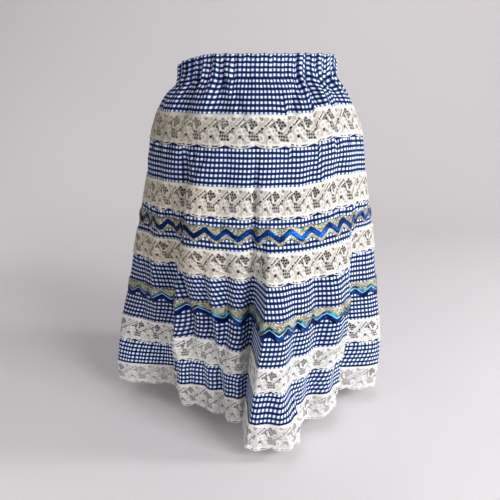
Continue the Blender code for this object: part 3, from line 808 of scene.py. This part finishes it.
# The casing: a strip folded over the elastic, gathered
CASING_COLUMNS = 936
CASING_ROWS = 11             # rows of points on its outer layer
CASING_FLAT = 1.26
CASING_LAP = 0.0030          # how far it runs down over tier 1
CASING_PRESS = 0.0080        # how far above its end the seam presses it flatter
RUFFLE = 0.0008              # how far the fine gathers ruffle its top edge
DRAWN = 0.0048               # how far along the gathers draw the checks, as a share of the strip
CORNER_SINK = 0.0050         # how much lower the top edge lies at the two sides
CORNER_REACH = 26.0          # how many degrees from there it is level again


def casing_puff(drops):
    """How far a layer of the casing stands off its middle."""
    return CASING_PUFF * (0.35 + 0.65 * ease((CASING_END - drops) / CASING_PRESS))


def make_casing():
    """Both layers of the casing and the fold at its top, as one strip of cloth."""
    outer = np.linspace(CASING_END + CASING_LAP, CASING_TOP + CASING_PUFF, CASING_ROWS)
    inner = outer[::-1][2::2]
    bend = np.radians([30, 65, 100, 135])
    drops = np.concatenate([outer, CASING_TOP + CASING_PUFF * (1 - np.sin(bend)), inner])
    lifts = np.concatenate([casing_puff(outer), CASING_PUFF * np.cos(bend), -casing_puff(inner)])
    share = np.arange(CASING_COLUMNS) / CASING_COLUMNS
    ruffle = RUFFLE * wave(share, GATHERS, 0.9) + RUFFLE * wave(share, 173, 2.2, 1.0)
    from_front = np.abs(turn_from(turn_at(share, np.full(CASING_COLUMNS, CASING_TOP)), 0.0))
    ruffle = ruffle + CORNER_SINK * (1.0 - ease(np.abs(from_front - 90.0) / CORNER_REACH))
    near_top = ease((0.004 - drops) / 0.020)
    rows = drops[:, None] + near_top[:, None] * ruffle
    height = 2 * (CASING_END - CASING_TOP) + CASING_LAP
    piece = ring_piece("casing", rows[::-1], (lifts + TIER_LIFT)[::-1, None], CASING_FLAT,
                       np.linspace(0.0, height, len(rows)), casing_gingham, 0.0, DRAWN)
    finish_piece(piece, ["waistband"])


TIER_COLUMNS = 720
TIER_FALL = 1.04             # the cloth's way down, over the drop between a tier's edges


def make_tier(name, tier):
    """A gingham strip, which runs on a little under the lace above and below it."""
    first = tier.top - (LAP if tier.top > CASING_END else SEAM_LAP)
    last = tier.bottom + LAP
    drops = np.repeat(np.linspace(first, last, tier.rows)[:, None], TIER_COLUMNS, axis=1)
    height = (last - first) * TIER_FALL
    material = hem_gingham if tier.top > ROW_2.drop else gingham
    piece = ring_piece(name, drops, TIER_LIFT, tier.flat_width, np.linspace(0.0, height, tier.rows),
                       material, CLOTH_THICK)
    finish_piece(piece, [name + "_front", name + "_back"])


# The lace: one repeat of its flower, drawn flat in millimetres, x across and y down
TILE_WIDE = 54.0
TILE_HIGH = 60.0             # to the lowest place of the scalloped edge
NOTCH_HIGH = 53.5            # to the notch between two scallops
SCALLOP_MIDDLE = 9.4         # where across the tile the edge hangs lowest
HEADING = 6.0                # the plain strip along the top
Hole = namedtuple("Hole", "x y wide high lean")      # an oval, leaning by degrees
HOLES = [
    # the flower's eyelets
    Hole(28.6, 8.8, 4.8, 4.8, 0), Hole(24.8, 13.2, 4.8, 4.8, 0), Hole(30.4, 13.8, 4.8, 4.8, 0),
    Hole(35.8, 13.4, 4.8, 4.8, 0), Hole(39.3, 18.0, 4.8, 4.8, 0), Hole(33.8, 18.8, 4.8, 4.8, 0),
    Hole(28.4, 18.8, 4.2, 4.2, 0), Hole(30.6, 23.8, 4.8, 4.6, 0),
    # the leaf on its left
    Hole(11.6, 21.2, 3.6, 3.6, 0), Hole(15.2, 18.4, 3.8, 3.2, 0), Hole(18.8, 15.4, 3.8, 3.4, 0),
    Hole(19.2, 21.8, 6.4, 4.0, 62), Hole(21.8, 27.4, 4.2, 1.8, 62),
    # the upper stem's slit and its two ends
    Hole(8.7, 14.8, 11.4, 2.2, -40), Hole(2.6, 20.4, 3.4, 3.2, 0), Hole(15.0, 9.4, 3.4, 3.0, 0),
    # the lower stem's slit
    Hole(49.6, 25.6, 6.4, 4.2, -42), Hole(44.6, 30.2, 5.0, 3.2, -42), Hole(40.2, 33.8, 4.8, 2.0, -38),
    Hole(48.6, 31.4, 2.4, 2.4, 0),
    # spots and rows of dots
    Hole(48.0, 7.4, 2.4, 2.2, 0), Hole(51.4, 7.0, 2.4, 2.2, 0), Hole(49.8, 10.0, 1.8, 1.8, 0),
    Hole(26.8, 31.8, 4.8, 4.6, 0), Hole(31.2, 32.2, 2.8, 3.2, 0), Hole(8.6, 40.0, 5.0, 6.0, 20),
    Hole(13.8, 43.8, 2.0, 2.0, 0),
    Hole(26.2, 38.2, 3.6, 3.8, 0), Hole(30.8, 38.0, 3.6, 3.8, 0), Hole(35.4, 38.2, 3.6, 3.8, 0),
    Hole(39.7, 38.6, 3.0, 3.2, 0), Hole(29.8, 44.0, 3.8, 3.8, 0), Hole(34.4, 44.0, 3.6, 3.6, 0),
    Hole(41.0, 44.2, 4.4, 3.8, 0),
]
Cord = namedtuple("Cord", "wide points")             # a raised outline, through a few points
CORDS = [
    # petals round the flower
    Cord(1.2, [(21.8, 13.0), (23.4, 8.4), (27.2, 5.8), (31.8, 7.4), (36.8, 9.4), (41.6, 13.0),
               (43.4, 18.4), (40.6, 22.4), (36.4, 24.4), (34.4, 28.0), (28.8, 28.4), (25.8, 24.0),
               (23.0, 19.6), (21.8, 13.0)]),
    # the leaf
    Cord(1.1, [(9.2, 23.8), (11.0, 17.2), (16.0, 13.8), (21.0, 13.6), (23.0, 19.8), (25.0, 30.0),
               (20.4, 28.4), (16.0, 24.6), (9.2, 23.8)]),
    # the stems
    Cord(1.1, [(-3.2, 25.0), (0.8, 19.0), (7.4, 13.2), (13.0, 7.6), (17.4, 7.6)]),
    Cord(1.1, [(2.6, 23.0), (9.6, 16.8), (15.6, 11.6), (19.0, 8.4)]),
    Cord(1.1, [(37.4, 34.4), (42.0, 29.6), (47.4, 24.6), (52.2, 22.0), (56.0, 21.0)]),
    Cord(1.1, [(40.4, 36.4), (46.0, 33.2), (51.6, 28.4), (54.4, 23.6)]),
    Cord(1.0, [(43.0, 5.6), (45.8, 10.6), (50.4, 13.0), (54.4, 9.6), (55.8, 5.4)]),
    # rounded petals of net
    Cord(1.0, [(2.6, 31.0), (5.0, 27.6), (9.4, 26.8), (13.2, 29.6), (12.6, 34.0), (8.0, 35.6),
               (4.0, 34.4), (2.6, 31.0)]),
    Cord(1.0, [(17.2, 33.0), (21.4, 31.2), (23.8, 34.4), (23.4, 39.4), (19.6, 41.8), (16.0, 38.4),
               (17.2, 33.0)]),
    Cord(1.0, [(44.2, 38.2), (48.0, 36.2), (51.6, 39.4), (51.4, 44.2), (47.8, 46.6), (45.0, 43.4),
               (44.2, 38.2)]),
    # the drop in the middle of the scallop
    Cord(1.1, [(6.2, 49.0), (7.2, 45.4), (9.4, 43.4), (11.6, 45.4), (12.6, 49.0), (11.2, 51.8),
               (9.4, 52.4), (7.4, 51.8), (6.2, 49.0)]),
    Cord(1.0, [(22.0, 45.6), (27.0, 47.4), (33.0, 47.8), (39.0, 47.8), (45.0, 47.8)]),
]
EDGE_SLITS = [(1.4, 5.4), (11.6, 24.6), (45.6, 52.6)]    # long slits along the scalloped edge
EDGE_SLIT = 2.4              # how high they are
EDGE_RIM = 1.7               # how far inside the edge they lie
EDGE_CORD = 5.6              # how far inside the scalloped edge a raised outline follows it
EDGE_CORD_WIDE = 1.1
CORD_HIGH = 0.0006           # how far an outline is raised, in metres
CORD_STEP = 2.2              # from point to point along an outline
CORD_ROOM = 0.95             # the free room round each point on an outline
NET_ACROSS = 3.35            # from point to point in a row over the net
NET_DOWN = 2.9               # from row to row
NET_SHIFT = 1.6              # how far every other row is shifted
NET_ROOM = 1.9               # the free room round each point of the net
SIDE_POINTS = 22             # down each side of the tile
EDGE_POINTS = 25             # across its top and along its scalloped edge, with one more at the notch
Tile = namedtuple("Tile", "flat triangles raised dense")


def scallop_edge(x):
    """The height of the scalloped edge at a place across the tile."""
    away = ((x - SCALLOP_MIDDLE) / TILE_WIDE + 0.5) % 1.0 * 2.0 - 1.0
    return TILE_HIGH - (TILE_HIGH - NOTCH_HIGH) * np.abs(away) ** 2.4


def oval(hole, count):
    """The outline of a hole."""
    lean = math.radians(hole.lean)
    points = []
    for step in range(count):
        angle = math.tau * step / count
        x, y = hole.wide / 2 * math.cos(angle), hole.high / 2 * math.sin(angle)
        points.append((hole.x + x * math.cos(lean) - y * math.sin(lean),
                       hole.y + x * math.sin(lean) + y * math.cos(lean)))
    return points


def edge_slits():
    """The long slits that follow the scalloped edge."""
    outlines = []
    for start, end in EDGE_SLITS:
        across = np.linspace(start, end, 3 + int((end - start) / 3.0))
        upper = [(x, scallop_edge(x) - EDGE_RIM - EDGE_SLIT) for x in across[1:-1]]
        lower = [(x, scallop_edge(x) - EDGE_RIM) for x in across[-2:0:-1]]
        ends = [(x, scallop_edge(x) - EDGE_RIM - EDGE_SLIT / 2) for x in (across[0], across[-1])]
        outlines.append([ends[0]] + upper + [ends[1]] + lower)
    return outlines


def smooth_line(points, step):
    """Points every step along a soft curve through the given ones."""
    given = np.array(points, dtype=float)
    closed = np.allclose(given[0], given[-1])
    found = []
    last = len(given) - 1
    for k in range(last):
        before = given[k - 1] if k else (given[-2] if closed else 2 * given[0] - given[1])
        after = given[k + 2] if k + 2 <= last else (given[1] if closed else 2 * given[-1] - given[-2])
        pieces = max(1, int(round(np.linalg.norm(given[k + 1] - given[k]) / step)))
        for t in np.arange(pieces) / pieces:
            found.append(0.5 * (2 * given[k] + (given[k + 1] - before) * t
                                + (2 * before - 5 * given[k] + 4 * given[k + 1] - after) * t * t
                                + (3 * given[k] - before - 3 * given[k + 1] + after) * t ** 3))
    found.append(given[-1])
    return np.array(found)


def inside(points, outline):
    """Which of the points lie inside an outline."""
    x, y = points[:, 0], points[:, 1]
    outline = np.array(outline)
    found = np.zeros(len(points), dtype=bool)
    for (x0, y0), (x1, y1) in zip(outline, np.roll(outline, -1, axis=0)):
        crosses = (y0 > y) != (y1 > y)
        if y1 != y0:
            found ^= crosses & (x < (x1 - x0) * (y - y0) / (y1 - y0) + x0)
    return found


def raised_lines(across):
    """The width and the points of each raised outline, with the one along the scalloped edge."""
    lines = [(cord.wide, smooth_line(cord.points, CORD_STEP)) for cord in CORDS]
    lines.append((EDGE_CORD_WIDE, np.stack([across, scallop_edge(across) - EDGE_CORD], axis=1)))
    return lines


def border_and_holes(across, holes):
    """The points round the tile and round its holes, and the edges that join them."""
    side = np.linspace(0.0, scallop_edge(0.0), SIDE_POINTS)
    points = [(x, y) for x in (0.0, TILE_WIDE) for y in side]
    edges = []
    top = [(x, 0.0) for x in across[1:-1]]
    rim = [(x, scallop_edge(x)) for x in across[1:-1]]
    rim = [(0.0, side[-1])] + rim + [(TILE_WIDE, side[-1])]
    for chain, closed in [(top, False), (rim, False)] + [(hole, True) for hole in holes]:
        first = len(points)
        points.extend(map(tuple, chain))
        edges.extend((first + k, first + k + 1) for k in range(len(chain) - 1))
        if closed:
            edges.append((len(points) - 1, first))
    return points, edges


def fill_points(points, lines, holes):
    """Add points beside each raised outline and over the net, where there is room for them."""
    spread = []
    for wide, line in lines:
        run = np.gradient(line, axis=0)
        normal = np.stack([-run[:, 1], run[:, 0]], axis=1) / np.linalg.norm(run, axis=1)[:, None]
        for side in (0.0, 0.7, -0.7):
            spread.extend((place, CORD_ROOM) for place in line + normal * wide * side)
    x, y = np.meshgrid(np.arange(1.9, TILE_WIDE - 1.0, NET_ACROSS), np.arange(2.0, TILE_HIGH, NET_DOWN))
    x = x + NET_SHIFT * (np.arange(x.shape[0]) % 2)[:, None]
    spread.extend((place, NET_ROOM) for place in np.stack([x.ravel(), y.ravel()], axis=1))
    points = list(np.array(points))
    for place, room in spread:
        near = np.linalg.norm(np.array(points) - place, axis=1).min()
        free = 0.9 < place[0] < TILE_WIDE - 0.9 and 0.8 < place[1] < scallop_edge(place[0]) - 0.7
        if free and near > room and not any(inside(np.array([place]), hole)[0] for hole in holes):
            points.append(place)
    return points


def cut_out(flat, triangles, holes):
    """Leave out the triangles in a hole or past the edge, and the points that none uses then."""
    middles = flat[triangles].mean(axis=1)
    keep = middles[:, 1] < scallop_edge(middles[:, 0]) + 1e-3
    for hole in holes:
        keep &= ~inside(middles, hole)
    used, corners = np.unique(triangles[keep], return_inverse=True)
    return flat[used], corners.reshape(-1, 3)


def relief_thread_and_hole_shade(flat, lines, eyelets):
    """How far each point is raised, from 0 to 1, and how much thread it has, from 0 to 1, or -0.5 round the
    eyelets, where it marks painted shade.
    """
    raised = np.zeros(len(flat))
    dense = np.zeros(len(flat))
    for wide, line in lines:
        beside = np.concatenate([line + (shift, 0.0) for shift in (-TILE_WIDE, 0.0, TILE_WIDE)])
        away = np.linalg.norm(flat[:, None, :] - beside[None, :, :], axis=2).min(axis=1)
        raised = np.maximum(raised, 1.0 - ease(away / (wide * 0.75)))
        dense = np.maximum(dense, 1.0 - ease((away - wide * 0.05) / (wide * 0.5)))
    from_edge = scallop_edge(flat[:, 0]) - flat[:, 1]
    rim = ease((EDGE_RIM + 0.4 - from_edge) / 1.2)
    heading = 1.0 - ease((flat[:, 1] - HEADING + 0.5) / 1.5)
    scallop = 0.58 * ease((13.0 - from_edge) / 6.0)
    dense = np.maximum.reduce([dense, rim, heading, scallop])
    # painted shade: points at an eyelet's edge are marked -0.5, which darkens the thread there
    for eyelet in eyelets:
        away = np.linalg.norm(flat[:, None, :] - np.array(eyelet)[None, :, :], axis=2).min(axis=1)
        dense = np.where((away < 0.3) & (dense < 0.5), -0.5, dense)
    return np.maximum(raised, rim), dense


def make_tile():
    """One flat repeat of the lace."""
    eyelets = [oval(hole, 10 if hole.wide < 6 else 14) for hole in HOLES]
    holes = eyelets + edge_slits()
    notch = (SCALLOP_MIDDLE + TILE_WIDE / 2) % TILE_WIDE
    across = np.sort(np.append(np.linspace(0.0, TILE_WIDE, EDGE_POINTS), notch))
    lines = raised_lines(across)
    points, edges = border_and_holes(across, holes)
    points = [Vector(point) for point in fill_points(points, lines, holes)]
    result = delaunay_2d_cdt(points, edges, [], 0, 1e-4)
    flat, triangles = cut_out(np.array([tuple(point) for point in result[0]]), np.array(result[2]), holes)
    return Tile(flat, triangles, *relief_thread_and_hole_shade(flat, lines, eyelets))


tile = make_tile()


def make_lace(name, top, end, repeats, shift):
    """A band of lace: the flat repeat laid round the skirt, over the tiers' edges."""
    left = np.where(np.isclose(tile.flat[:, 0], 0.0, atol=1e-3))[0]
    right = np.where(np.isclose(tile.flat[:, 0], TILE_WIDE, atol=1e-3))[0]
    left = left[np.argsort(tile.flat[left, 1])]
    right = right[np.argsort(tile.flat[right, 1])]
    own = np.setdiff1d(np.arange(len(tile.flat)), right)
    number = np.full(len(tile.flat), -1)
    number[own] = np.arange(len(own))
    faces = []
    for repeat in range(repeats):
        index = number + repeat * len(own)
        index[right] = number[left] + (repeat + 1) % repeats * len(own)
        faces.append(index[tile.triangles])
    place = np.repeat(np.arange(repeats), len(own)) + shift
    share = (np.tile(tile.flat[own, 0] / TILE_WIDE, repeats) + place) / repeats
    drop = np.tile(top + tile.flat[own, 1] * ((end - top) / TILE_HIGH), repeats)
    places, out = cloth_and_out(share, drop)
    places = places + out * (LACE_LIFT + CORD_HIGH * np.tile(tile.raised[own], repeats))[:, None]
    corners = tile.flat[tile.triangles].reshape(-1, 2) * (1.0, -1.0) / 1000.0
    uvs = np.tile(corners, (repeats, 1))
    uvs[:, 0] += np.repeat(np.arange(repeats) * TILE_WIDE / 1000.0, len(corners))
    # the two lowest bands take the copy of the lace that is painted lighter
    material = lighter_painted_hem_lace if end > ROW_2.drop else lace_thread
    piece = mesh_piece(name, places, np.concatenate(faces).tolist(), uvs, material, LACE_THICK,
                       np.tile(tile.dense[own], repeats))
    flat_size = (repeats * TILE_WIDE / 1000.0, TILE_HIGH / 1000.0)
    finish_piece(piece, [name + "_front", name + "_back"])


# The rickrack: how far below its row's middle an edge runs, and how far its zigzag swings
Edge = namedtuple("Edge", "below swing")
ROW_1_TOP = Edge(-0.0155, 0.0018)
ROW_1_BLUE = Edge(0.0, 0.0074)
ROW_1_BOTTOM = Edge(0.0132, 0.0066)
ROW_2_TOP = Edge(-0.0185, 0.0010)
ROW_2_BORDER = Edge(-0.0058, 0.0062)
ROW_2_BOTTOM = Edge(0.0125, 0.0072)
GOLD_1_HIGH = 0.0287         # the heights of the braids as woven
BLUE_1_HIGH = 0.0110
GOLD_2_HIGH = 0.0127
BLUE_2_HIGH = 0.0108         # of the blue below the piping
FOIL_LAP = 0.0004            # how far the foil laps over the gold above it
BRAID_STEPS = 20             # columns for each zigzag
BRAID_CROWN = 0.0006         # how much higher a braid is along its middle


def zigzag(share, count):
    """A zigzag with rounded points, from -1 to 1."""
    pointed = 0.96
    return np.arcsin(pointed * np.sin(math.tau * count * share)) / math.asin(pointed)


def between(first, last, ways):
    """Edges that lie part of the way from one edge to another."""
    return [Edge(*(np.array(first) * (1.0 - way) + np.array(last) * way)) for way in ways]


def lowered(edge, drop):
    """The same edge, a drop lower."""
    return Edge(edge.below + drop, edge.swing)


def make_braid(name, node, row, edges, heights, lift, material):
    """A strip through its edges along a row, a little crowned.

    heights are the edges' distances from the strip's top edge as it was woven.
    """
    columns = row.zigzags * BRAID_STEPS
    share = np.arange(columns) / columns
    swing = zigzag(share, row.zigzags)
    drops = np.array([row.drop + edge.below + edge.swing * swing for edge in edges])
    way = np.array(heights) / heights[-1]
    lifts = lift + BRAID_CROWN * np.sqrt(1.0 - (2.0 * way - 1.0) ** 2)
    middle = cloth(share, drops[len(edges) // 2])
    length = float(np.linalg.norm(np.roll(middle, -1, axis=0) - middle, axis=1).sum())
    piece = ring_piece(name, drops, lifts[:, None], length, heights, material, BRAID_THICK)
    finish_piece(piece, [node])


def make_rickrack():
    """Row 1 is blue braid on the middle of gold, row 2 is gold above foil and blue."""
    ways = np.linspace(0.0, 1.0, 8)
    make_braid("rickrack_row_1_gold", "rickrack_gold_1", ROW_1,
               between(ROW_1_TOP, ROW_1_BOTTOM, ways), GOLD_1_HIGH * ways, BRAID_LIFT, gold_yarn)
    half = BLUE_1_HIGH / 2
    offsets = np.linspace(-half, half, 6)
    make_braid("rickrack_row_1_blue", "rickrack_blue_1", ROW_1,
               [lowered(ROW_1_BLUE, offset) for offset in offsets], offsets + half,
               BRAID_LIFT + BLUE_OVER_GOLD, blue_yarn)
    make_braid("rickrack_row_2_gold", "rickrack_gold_2", ROW_2,
               between(ROW_2_TOP, ROW_2_BORDER, ways), GOLD_2_HIGH * ways,
               BRAID_LIFT + GOLD_OVER_BLUE, gold_yarn)
    foil = np.array([0.0, 0.0020, 0.0040, FOIL, PIPING])
    below = np.linspace(0.0, 1.0, 5)[1:]
    make_braid("rickrack_row_2_blue", "rickrack_blue_2", ROW_2,
               [lowered(ROW_2_BORDER, step - FOIL_LAP) for step in foil]
               + between(lowered(ROW_2_BORDER, PIPING), ROW_2_BOTTOM, below),
               np.append(foil, PIPING + BLUE_2_HIGH * below), BRAID_LIFT, foil_yarn)


make_casing()
for number, tier in enumerate(TIERS, start=1):
    make_tier(f"tier_{number}", tier)
lace_ends = [tier.top for tier in TIERS[1:]] + [HEM]
for number, (tier, end, lace) in enumerate(zip(TIERS, lace_ends, LACES), start=1):
    make_lace(f"lace_{number}", tier.bottom, end, *lace)
make_rickrack()


# The studio: a pale floor that curves up into a backdrop, soft light from the right
FLOOR = -(HEM + 0.0255)
SWEEP_WIDE = 12.0
SWEEP_FRONT = -3.5
BEND_FROM = 1.5
BEND = 1.6
BEND_STEPS = 12
WALL_TOP = 5.0
WHITE = (1.0, 1.0, 1.0)
COOL = (0.97, 0.99, 1.0)


def make_floor():
    """A pale sweep: floor, a soft bend and a wall behind."""
    profile = [(SWEEP_FRONT, 0.0), (BEND_FROM, 0.0)]
    for step in range(1, BEND_STEPS + 1):
        angle = math.radians(90.0 * step / BEND_STEPS)
        profile.append((BEND_FROM + BEND * math.sin(angle), BEND * (1.0 - math.cos(angle))))
    profile.append((BEND_FROM + BEND, WALL_TOP))
    places = [(x, y, FLOOR + z) for x in (-SWEEP_WIDE / 2, SWEEP_WIDE / 2) for y, z in profile]
    count = len(profile)
    faces = [(k, count + k, count + k + 1, k + 1) for k in range(count - 1)]
    data = bpy.data.meshes.new("studio_sweep")
    data.from_pydata(places, [], faces)
    data.shade_smooth()
    shop = Shop("studio_paint", Roughness=0.9, Emission_Color=(0.80, 0.78, 0.79, 1.0), Emission_Strength=0.05)
    paint = shop.mix(shop.noise(0.8) * 0.3, colour(234, 229, 231), colour(228, 222, 224))
    shop.link(paint, "Base Color")
    data.materials.append(shop.material)
    add_object("studio_sweep", data)


def add_light(name, place, target, size, power, tint):
    """A round soft light that looks at a target."""
    data = bpy.data.lights.new(name, "AREA")
    data.shape = "DISK"
    data.size = size
    data.energy = power
    data.color = tint
    lamp = add_object(name, data)
    lamp.location = place
    lamp.rotation_euler = (Vector(target) - Vector(place)).to_track_quat("-Z", "Y").to_euler()


make_floor()
add_light("key", (2.9, -3.1, 1.25), (0.0, 0.0, -0.45), 2.8, 162.0, WHITE)
add_light("side", (2.6, -0.3, 0.5), (0.0, 0.0, -0.5), 0.6, 32.0, COOL)
add_light("low_left", (-0.70, -0.90, -0.69), (-0.1, 0.0, -0.66), 0.6, 3.1, WHITE)
add_light("low_right", (0.70, -0.95, -0.69), (0.1, 0.0, -0.66), 0.6, 2.7, COOL)
add_light("floor", (-1.5, 1.3, 0.7), (-1.2, 1.1, -0.75), 0.8, 5.5, WHITE)

world = bpy.data.worlds.new("studio_air")
world.use_nodes = True
air = world.node_tree.nodes["Background"]
air.inputs["Color"].default_value = (0.80, 0.79, 0.80, 1.0)
air.inputs["Strength"].default_value = 0.24
bpy.context.scene.world = world
bpy.context.scene.view_settings.view_transform = "Standard"

# The camera: level with the casing, 1.4 m in front, looking down a little
CAMERA_PLACE = (-0.0124, -1.40, 0.0065)
CAMERA_SLOPE = 0.29
FOCAL_PIXELS = 651.0
FRAME_PIXELS = 500.0
SENSOR = 36.0

camera_data = bpy.data.cameras.new("camera")
camera_data.sensor_width = SENSOR
camera_data.lens = FOCAL_PIXELS / FRAME_PIXELS * SENSOR
camera = add_object("camera", camera_data)
camera.location = CAMERA_PLACE
camera.rotation_euler = (math.pi / 2 - math.atan(CAMERA_SLOPE), 0.0, 0.0)
bpy.context.scene.camera = camera
